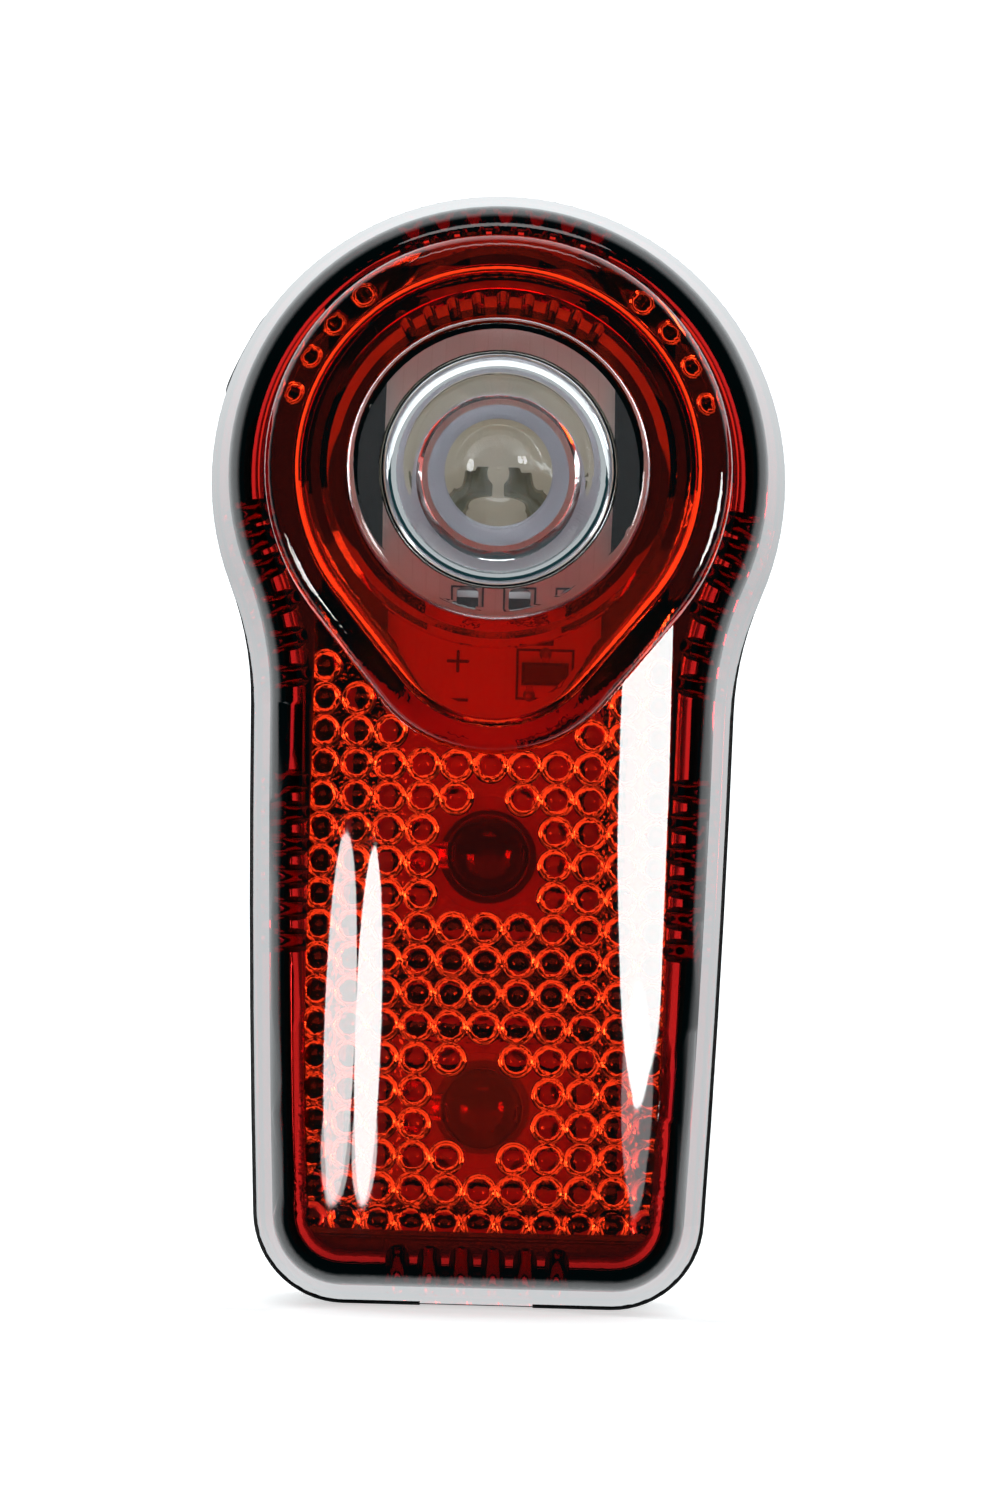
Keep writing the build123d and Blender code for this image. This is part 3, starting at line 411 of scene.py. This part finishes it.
# %% Pick and pull
def pick(piece, test, kind="FACE"):
    """Edit mode with only those faces or edges selected whose middle, in millimetres, and way pass a test."""
    bpy.context.view_layer.objects.active = piece
    bpy.ops.object.mode_set(mode="EDIT")
    bpy.ops.mesh.select_mode(type=kind)
    bpy.ops.mesh.select_all(action="DESELECT")
    bpy.ops.object.mode_set(mode="OBJECT")
    points = piece.data.vertices
    for part in piece.data.polygons if kind == "FACE" else piece.data.edges:
        if kind == "FACE":
            part.select = bool(test(part.center / mm, part.normal))
        else:
            first, last = (points[number].co for number in part.vertices)
            part.select = bool(test((first + last) / 2 / mm, (last - first).normalized()))
    bpy.ops.object.mode_set(mode="EDIT")


def pull(way, size=(1, 1, 1), about=(0, 0, 0)):
    """Extrudes what is selected by so many millimetres, then scales its end about a point."""
    bpy.ops.mesh.extrude_region_move(TRANSFORM_OT_translate={"value": [part * mm for part in way]})
    bpy.ops.transform.resize(value=size, center_override=[part * mm for part in about])


print("faces can be picked and pulled")

# %% [markdown]
# No moulded edge is sharp, so a bevel rounds them all near the end. Last, every piece gets outward normals,
# smooth shading up to an angle, its finish and its body.

# %% Round and finish
def round_edges(piece, width, segments=2):
    """Rounds every sharp edge of a piece."""
    bpy.ops.object.mode_set(mode="OBJECT")
    bevel = piece.modifiers.new("rounded edges", "BEVEL")
    bevel.width, bevel.segments = width * mm, segments
    bevel.limit_method, bevel.angle_limit = "ANGLE", radians(40)
    bpy.ops.object.modifier_apply(modifier=bevel.name)


def finish_piece(piece, material, body=None):
    """Turns normals outwards, smooths the shading, gives the finish and the body that it rides on."""
    bpy.context.view_layer.objects.active = piece
    bpy.ops.object.mode_set(mode="EDIT")
    bpy.ops.mesh.select_all(action="SELECT")
    bpy.ops.mesh.normals_make_consistent(inside=False)
    bpy.ops.object.mode_set(mode="OBJECT")
    bpy.ops.object.shade_smooth_by_angle(angle=radians(35))
    dress(material, piece.name)
    if body:
        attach(piece, body)
    print(piece.name, len(piece.data.polygons), "faces")


print("pieces can be finished")

# %% [markdown]
# ### The clip
# On the real light, foot and tongue of the clip are one springy moulding, and the solids part them only
# so that the tongue can turn. Here one block is pulled down through stations into the whole clip, with
# the ridge that keeps a strap in, and its lower back gets grooves for the finger that lifts it.

# %% Clip moulding
tongue_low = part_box("clip_tongue")[0] / mm
foot_low, foot_high = (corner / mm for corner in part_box("clip_foot"))
clip_back, clip_thickness = foot_high.y, 2.0
clip = block(
    "clip_moulding",
    (foot_low.x, clip_back - clip_thickness, foot_low.z + 1),
    (foot_high.x, clip_back, foot_high.z),
)
pick(clip, lambda at, way: way.z < -0.5)
clip_stations = [
    # height, half the width, thickness
    (51.5, 6.9, 2.0), (51.0, 6.6, 2.0), (50.4, 6.3, 2.0), (49.8, 6.2, 2.0), (49.2, 6.15, 2.0),
    (36.0, 5.8, 2.0), (22.6, 5.45, 2.0), (21.6, 5.42, 3.05), (20.8, 5.4, 3.5), (20.0, 5.38, 3.6),
    (19.2, 5.36, 3.5), (18.4, 5.34, 3.05), (17.5, 5.32, 1.95), (tongue_low.z, 5.2, 1.0),
]
height, width, thickness = foot_low.z + 1, foot_high.x, clip_thickness
for next_height, next_width, next_thickness in clip_stations:
    narrower = (next_width / width, next_thickness / thickness, 1)
    pull((0, 0, next_height - height), narrower, (0, clip_back, next_height))
    height, width, thickness = next_height, next_width, next_thickness
pick(clip, lambda at, way: way.y < -0.5 and at.z > foot_low.z + 1)
pull((0, foot_low.y - clip_back + clip_thickness, 0))
ends = (tongue_low.z + 0.1, foot_high.z - 0.1)
pick(clip, lambda at, way: abs(way.y) > 0.9 and not ends[0] <= at.z <= ends[1], "EDGE")
bpy.ops.mesh.bevel(offset=1.6 * mm, segments=6, affect="EDGES")
round_edges(clip, 0.4, 3)

# The grooves for the finger: two cuts for each, then the strip between them is pushed in
groove_low, groove_high, groove_width, groove_pitch = 25.0, 34.4, 0.9, 2.1
for number in range(5):
    for edge in (groove_low, groove_low + groove_width):
        bpy.ops.object.mode_set(mode="EDIT")
        bpy.ops.mesh.select_all(action="SELECT")
        cut = (0, 0, (edge + number * groove_pitch) * mm)
        bpy.ops.mesh.bisect(plane_co=cut, plane_no=(0, 0, 1))
pick(
    clip,
    lambda at, way: way.y > 0.99
    and groove_low < at.z < groove_high
    and (at.z - groove_low) % groove_pitch < groove_width,
)
bpy.ops.mesh.inset(thickness=0.2 * mm, use_individual=True)
bpy.ops.transform.translate(value=(0, -0.25 * mm, 0))
finish_piece(clip, black_plastic)
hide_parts("clip_foot", "clip_tongue")
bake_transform(clip)

# %% [markdown]
# ### The main light source
# Seen through the clear optic, the main light source is a pale square package with a round hollow, two
# chips in it side by side, and a low dome of clear silicone over all. The package comes first, and its
# hollow is cut with a cone, as the mould forms it.

# %% Package
led_low, led_high = (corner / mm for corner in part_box("main_led"))
package_height, hollow_depth = 1.3, 0.55
package_front = led_high.y - package_height
led_middle = (led_low.z + led_high.z) / 2
package = block("led_package", (led_low.x, package_front, led_low.z), (led_high.x, led_high.y, led_high.z))
pick(package, lambda at, way: abs(way.y) > 0.9, "EDGE")
bpy.ops.mesh.bevel(offset=0.4 * mm, segments=3, affect="EDGES")
round_edges(package, 0.12)
hollow = start(
    "cone",
    "led_hollow",
    vertices=48,
    radius1=1.75 * mm,
    radius2=2.15 * mm,
    depth=hollow_depth * 2 * mm,
    location=(0, package_front * mm, led_middle * mm),
    rotation=(radians(90), 0, 0),
)
bpy.context.view_layer.objects.active = package
carve = package.modifiers.new("hollow", "BOOLEAN")
carve.object, carve.operation, carve.solver = hollow, "DIFFERENCE", "EXACT"
bpy.ops.object.modifier_apply(modifier=carve.name)
bpy.data.objects.remove(hollow)
finish_piece(package, led_beige, "front_unit")
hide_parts("main_led")

# %% [markdown]
# The chips are slivers of coated semiconductor on the floor of the hollow, each with a step round its top
# face. One is modelled, and the other is its copy.

# %% Chips
def copy_to(piece, name, shift):
    """A copy of a piece with its own mesh, so many millimetres away from it."""
    bpy.ops.object.select_all(action="DESELECT")
    piece.select_set(True)
    bpy.context.view_layer.objects.active = piece
    bpy.ops.object.duplicate()
    bpy.ops.transform.translate(value=[part * mm for part in shift])
    bpy.ops.object.transform_apply(location=True, rotation=True, scale=True)
    bpy.context.object.name = name
    return bpy.context.object


die_finish, tree, shader, place = new_finish(
    "coated light-emitting chip", Base_Color=linear("#8E8A6E"), Roughness=0.25, IOR=1.8
)
grain(tree, shader, place, 0.12, 0.01)
x, floor_y = -0.62, package_front + hollow_depth
die = block("left_die", (x - 0.42, floor_y - 0.18, led_middle - 0.45), (x + 0.42, floor_y, led_middle + 0.45))
pick(die, lambda at, way: way.y < -0.5)
bpy.ops.mesh.inset(thickness=0.1 * mm)
pull((0, -0.05, 0), (0.9, 1, 0.9), (x, floor_y, led_middle))
round_edges(die, 0.03)
finish_piece(die, die_finish, "front_unit")
finish_piece(copy_to(die, "right_die", (-2 * x, 0, 0)), die_finish, "front_unit")

# %% [markdown]
# The dome is dispensed as a drop of clear silicone that settles into a low cap. It starts as a flattened
# ball, whose back half is cut off at the package.

# %% Dome
def keep_front(plane_y):
    """Cuts off all of a piece that lies behind this Y, in millimetres, and closes the cut."""
    bpy.ops.object.mode_set(mode="EDIT")
    bpy.ops.mesh.select_all(action="SELECT")
    cut = (0, plane_y * mm, 0)
    bpy.ops.mesh.bisect(plane_co=cut, plane_no=(0, 1, 0), use_fill=True, clear_outer=True)


clear_silicone, tree, shader, place = new_finish(
    "clear silicone", Base_Color=linear("#FBFAF2"), Roughness=0.03, IOR=1.41, Transmission_Weight=1.0
)
grain(tree, shader, place, 1.5, 0.002, 0.0)
dome = start(
    "uv_sphere",
    "led_dome",
    segments=48,
    ring_count=24,
    radius=1.0,
    location=(0, package_front * mm, led_middle * mm),
    rotation=(radians(90), 0, 0),
    scale=(2.1 * mm, 2.1 * mm, (package_front - led_low.y) * mm),
)
keep_front(package_front - 0.005)
finish_piece(dome, clear_silicone, "front_unit")

# %% [markdown]
# ### The frosted foot of the optic
# The flat ring at the foot of the clear optic was left dull by the mould, so that it shows as a grey ring
# round the light source. A flat cylinder is opened into a washer that is as thin as the frost.

# %% Frosted ring
def open_up(wall):
    """Insets the picked front and back by this wall, cuts both out and joins their edges, as in a washer."""
    bpy.ops.mesh.inset(thickness=wall * mm, use_individual=True)
    bpy.ops.mesh.delete(type="FACE")
    bpy.ops.mesh.select_mode(type="EDGE")
    bpy.ops.mesh.select_non_manifold()
    bpy.ops.mesh.bridge_edge_loops()


optic_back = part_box("clear_lens")[1].y / mm
frosted, tree, shader, place = new_finish(
    "frosted polycarbonate", Base_Color=linear("#C6C2CC"), Roughness=0.6, IOR=1.585
)
grain(tree, shader, place, 0.15, 0.01)
ring = start(
    "cylinder",
    "optic_foot_frost",
    vertices=96,
    radius=4.15 * mm,
    depth=0.04 * mm,
    location=(0, (optic_back + 0.03) * mm, led_middle * mm),
    rotation=(radians(90), 0, 0),
)
pick(ring, lambda at, way: abs(way.y) > 0.9)
open_up(1.15)
finish_piece(ring, frosted, "front_unit")

# %% [markdown]
# ### Lead frames in the signal light sources
# A round light source has two steel leads cast in its epoxy. One ends in an anvil with a small cup for
# the chip, the other in a thin post beside it. They show as dark shapes in the red, so they are modelled
# for the lower one and copied for the upper one, each copy with its own mesh.

# %% Lead frames
root, spacing, lead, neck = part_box("circuit_board")[0].y / mm - 0.1, 1.27, 0.25, 2.6
middle, upper_middle = (
    (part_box(led)[0].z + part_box(led)[1].z) / 2 / mm for led in ("lower_led", "upper_led")
)

anvil_low, anvil_high = (-spacing - lead, root - neck, middle - lead), (lead - spacing, root, middle + lead)
anvil = block("lower_led_anvil", anvil_low, anvil_high)
pick(anvil, lambda at, way: way.y < -0.5)
pull((0, -0.5, 0), (3.0, 1, 2.6), (-0.7, root - 3.1, middle))
pull((0, -0.9, 0), (1.3, 1, 1.3), (-0.5, root - 4.0, middle))
bpy.ops.mesh.inset(thickness=0.3 * mm)
pull((0, 0.35, 0), (0.7, 1, 0.7), (-0.5, root - 3.65, middle))
round_edges(anvil, 0.06)
finish_piece(anvil, nickel, "front_unit")

post_low, post_high = (spacing - lead, root - neck, middle - lead), (spacing + lead, root, middle + lead)
post = block("lower_led_post", post_low, post_high)
pick(post, lambda at, way: way.y < -0.5)
pull((0, -0.5, 0), (1.6, 1, 1.6), (spacing - 0.1, root - 3.1, middle))
pull((0, -0.7, 0), (0.6, 1, 0.9), (spacing - 0.3, root - 3.8, middle))
round_edges(post, 0.06)
finish_piece(post, nickel, "front_unit")

rise = (0, 0, upper_middle - middle)
for lower, name in ((anvil, "upper_led_anvil"), (post, "upper_led_post")):
    finish_piece(copy_to(lower, name, rise), nickel, "front_unit")

# %% [markdown]
# ### Print on the board
# The board carries dark printed frames round its parts, a plus and a minus, and a dark bar. Print is a
# raised film, so each frame is a thin block that is opened, and each stroke one with rounded corners.

# %% Board print
def join(pieces, name):
    """Joins loose pieces into the first one of them."""
    bpy.ops.object.select_all(action="DESELECT")
    for piece in pieces:
        piece.select_set(True)
    bpy.context.view_layer.objects.active = pieces[0]
    bpy.ops.object.join()
    bpy.context.object.name = name
    return bpy.context.object


board_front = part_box("circuit_board")[0].y / mm
ink, tree, shader, place = new_finish("board ink", Base_Color=linear("#241A18"), Roughness=0.5)
grain(tree, shader, place, 0.1, 0.01)
printed = []


def printed_frame(low_x, low_z, high_x, high_z, line=0.16):
    """A printed rectangle on the board, drawn with a line of this width."""
    film = block("print", (low_x, board_front - 0.03, low_z), (high_x, board_front, high_z))
    pick(film, lambda at, way: abs(way.y) > 0.5)
    open_up(line)
    bpy.ops.object.mode_set(mode="OBJECT")
    printed.append(film)


def printed_bar(low_x, low_z, high_x, high_z):
    """A filled printed bar with rounded corners."""
    film = block("print", (low_x, board_front - 0.03, low_z), (high_x, board_front, high_z))
    pick(film, lambda at, way: abs(way.y) > 0.9, "EDGE")
    bpy.ops.mesh.bevel(offset=0.08 * mm, segments=2, affect="EDGES")
    bpy.ops.object.mode_set(mode="OBJECT")
    printed.append(film)


transistor_low, transistor_high = (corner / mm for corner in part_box("transistor"))
printed_frame(
    transistor_low.x - 0.35, transistor_low.z - 0.3, transistor_high.x + 0.35, transistor_high.z + 0.3
)
dark_bar, plus_across, plus_up, minus = (
    (0.9, 41.2, 3.7, 41.65), (-2.9, 40.0, -1.5, 40.2), (-2.3, 39.4, -2.1, 40.8), (-2.9, 37.6, -1.5, 37.8)
)
for stroke in (dark_bar, plus_across, plus_up, minus):
    printed_bar(*stroke)
resistor_low, resistor_high = (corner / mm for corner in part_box("chip_resistors"))
first_middle, resistor_pitch = resistor_low.x + 0.62, 3.0
resistor_middles = [first_middle + number * resistor_pitch for number in range(3)]
for middle in resistor_middles:
    printed_frame(middle - 0.95, resistor_low.z - 0.35, middle + 0.95, resistor_high.z + 0.35, 0.12)
finish_piece(join(printed, "board_print"), ink, "front_unit")

# %% [markdown]
# ### Solder
# Solder runs up the legs of the transistor and the ends of the chip resistors and sets as a smooth drop
# with a dull, frosty skin. Each drop is a flattened ball that is cut off just inside the board.

# %% Solder
solder_finish, tree, shader, place = new_finish(
    "solder", Base_Color=linear("#8C8E90"), Metallic=1.0, Roughness=0.5
)
uneven_gloss(tree, shader, place, 0.3, 0.4, 0.6)
joints = []


def solder_joint(x, z, wide, high):
    """A drop of solder, flat on the board and pulled up to its leg."""
    drop = start(
        "uv_sphere",
        "solder",
        segments=16,
        ring_count=8,
        radius=1.0,
        location=(x * mm, board_front * mm, z * mm),
        scale=(wide * mm, 0.28 * mm, high * mm),
    )
    keep_front(board_front + 0.02)
    bpy.ops.object.mode_set(mode="OBJECT")
    joints.append(drop)


middle, leg_aside = (transistor_low.x + transistor_high.x) / 2, 0.95
for aside, z in ((-leg_aside, transistor_low.z), (leg_aside, transistor_low.z), (0, transistor_high.z)):
    solder_joint(middle + aside, z, 0.38, 0.4)
for middle in resistor_middles:
    for z in (resistor_low.z, resistor_high.z):
        solder_joint(middle, z, 0.62, 0.3)
finish_piece(join(joints, "solder_joints"), solder_finish, "front_unit")

# %% [markdown]
# ## Floor, light and camera
# The picture was taken on a lit white table, with the object between narrow softboxes and the room dark
# behind the camera. That is what gives a glossy lens its look: white runs round its edges, where it
# mirrors what lies beside and behind it, and its front stays deep and dark but for the bright strips.
# The table comes first. Gloss doesn't see it, because in the photograph it ended before the object.

# %% Floor
bpy.ops.mesh.primitive_circle_add(vertices=96, radius=3.0, fill_type="NGON", location=(0, 0, 0))
floor = bpy.context.object
floor.name = "floor"
floor_paint, tree, shader, place = new_finish(
    "lit white table", Base_Color=linear("#FAFAFA"), Roughness=0.6, Emission_Strength=0.55
)
shader.inputs["Emission Color"].default_value = (1, 1, 1, 1)
floor.data.materials.append(floor_paint)
floor.visible_glossy = False
floor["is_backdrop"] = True
print("floor done")

# %% [markdown]
# ### Sky
# The sky is the room: white behind the object and beside it, and nearly black, with a touch of
# blue-green, behind the camera. A smooth step along the way that a ray looks turns one into the other.

# %% Sky
sky = bpy.data.worlds.new("studio")
bpy.context.scene.world = sky
sky.use_nodes = True
tree = sky.node_tree
direction = add_node(tree, "TexCoord").outputs["Generated"]
backwards = add_node(tree, "SeparateXYZ", {"Vector": direction}).outputs["Y"]
step = {"Value": backwards, "From Min": -0.12, "From Max": 0.25}
share = add_node(tree, "MapRange", step, interpolation_type="SMOOTHSTEP").outputs["Result"]
dark_room, white_room = (0.008, 0.036, 0.042, 1), (1.45, 1.52, 1.55, 1)
tint = add_node(tree, "Mix", {"Factor": share, 6: dark_room, 7: white_room}, data_type="RGBA")
tree.links.new(tint.outputs[2], tree.nodes["Background"].inputs["Color"])
print("sky done")

# %% [markdown]
# ### Softboxes
# Area lights stand for the softboxes. Each is a long oval that is placed by its turn round the object, so
# that its mirror image falls on the right strip of the barrel-shaped panel, and the short ones at the foot
# round off the lower ends of the strips. The fill light behind the camera lights what lies inside the
# lens, and gloss doesn't see it.

# %% Softboxes
def softbox(name, turn, low, high, width, distance, glow):
    """A long oval softbox round the object at this turn from the camera; glow is how bright it looks."""
    middle = Vector((distance * sin(radians(turn)), -distance * cos(radians(turn)), (low + high) / 2)) * mm
    lamp = bpy.data.lights.new(name, "AREA")
    lamp.shape = "ELLIPSE"
    lamp.size, lamp.size_y = width * mm, (high - low) * mm
    lamp.energy = glow * pi * pi / 4 * lamp.size * lamp.size_y
    made = bpy.data.objects.new(name, lamp)
    bpy.context.scene.collection.objects.link(made)
    made.location = middle
    aim = Vector((0, 0, middle.z)) - middle
    made.rotation_euler = aim.to_track_quat("-Z", "Y").to_euler()
    made.visible_camera = False
    return made


lamps = (
    # name, turn, low, high, width, distance, glow
    ("left softbox", -46.6, 2.6, 31, 20, 110, 13),
    ("left softbox foot", -46.6, 2.4, 12, 19, 110, 7),
    ("left inner softbox", -37.0, 2.6, 30, 17.0, 110, 18),
    ("left inner softbox foot", -37.0, 2.4, 12, 16.5, 110, 10),
    ("right softbox", 51, 9.5, 62, 44, 150, 18),
    ("right low softbox", 50.5, 0.7, 20, 27, 150, 3),
    ("top softbox", 0, 300, 420, 260, 200, 3),
)
for lamp_values in lamps:
    softbox(*lamp_values)
fill = softbox("fill light", 0, -120, 180, 300, 450, 0.5)
fill.visible_glossy = False
print(len(lamps) + 1, "lights")

# %% [markdown]
# ### Flags
# A photographer keeps a softbox off one part of a glossy thing with a flag, which is a black card on a
# stand. Here a narrow flag on each side follows the lens's shoulder and hides the softboxes from it, so
# that the strips show on the barrel-shaped panel alone. The camera doesn't see the flags.

# %% Flags
flag_black, tree, shader, place = new_finish("black flag card", Base_Color=linear("#020202"), Roughness=1.0)
shoulder_by_height = (
    (0, 11.9), (14, 11.8), (20, 12.0), (30, 12.2), (36, 12.4),
    (40, 12.9), (44, 13.6), (48, 14.5), (51.3, 15.1), (55, 14.8),
)
card_back, card_front = -13.65, -13.75


def flag(name, side, near, far):
    """A card that reaches from near to far beyond the shoulder on this side, in millimetres."""
    height, shoulder = shoulder_by_height[0]
    across = sorted((side * (shoulder + near), side * (shoulder + far)))
    card = block(name, (across[0], card_front, height), (across[1], card_back, height + 0.1))
    pick(card, lambda at, way: way.z > 0.5)
    for next_height, next_shoulder in shoulder_by_height[1:]:
        pull((side * (next_shoulder - shoulder), 0, next_height - height))
        height, shoulder = next_height, next_shoulder
    bpy.ops.object.mode_set(mode="OBJECT")
    card.data.materials.append(flag_black)
    card.visible_camera, card.visible_diffuse, card.visible_transmission = False, False, False
    card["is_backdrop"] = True


flag("right flag", 1, 1.1, 8.0)
flag("left flag", -1, 0.6, 7.0)
print("two flags stand beside the lens")

# %% [markdown]
# ### Camera
# The camera stands a little under the middle and rolls by a degree and a half, because in the photograph
# the light leans to the right. A long lens keeps the near boss and the far housing at the same scale.

# %% Camera
camera_data = bpy.data.cameras.new("camera")
camera = bpy.data.objects.new("camera", camera_data)
bpy.context.scene.collection.objects.link(camera)
bpy.context.scene.camera = camera
camera_height, camera_roll, camera_distance = -2.0, 1.55, 375.0
target = Vector((0.55, -4.25, 34.6)) * mm
back = Vector((0, -cos(radians(camera_height)), sin(radians(camera_height))))
camera.location = target + back * camera_distance * mm
turned = (-back).to_track_quat("-Z", "Y") @ Quaternion((0, 0, 1), radians(camera_roll))
camera.rotation_euler = turned.to_euler()
camera_data.lens = 144.5
camera_data.sensor_width = 36.0
camera_data.clip_start, camera_data.clip_end = 0.01, 20.0
bpy.context.scene.view_settings.view_transform = "Standard"
print("camera", camera_distance, "mm away")

# %% [markdown]
# ### Sizes
# The last cell prints how large the finished model is, and closes the lesson.

# %% Sizes, and the end
low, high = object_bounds()
print("visual size", [round((b - a) / mm, 2) for a, b in zip(low, high)])
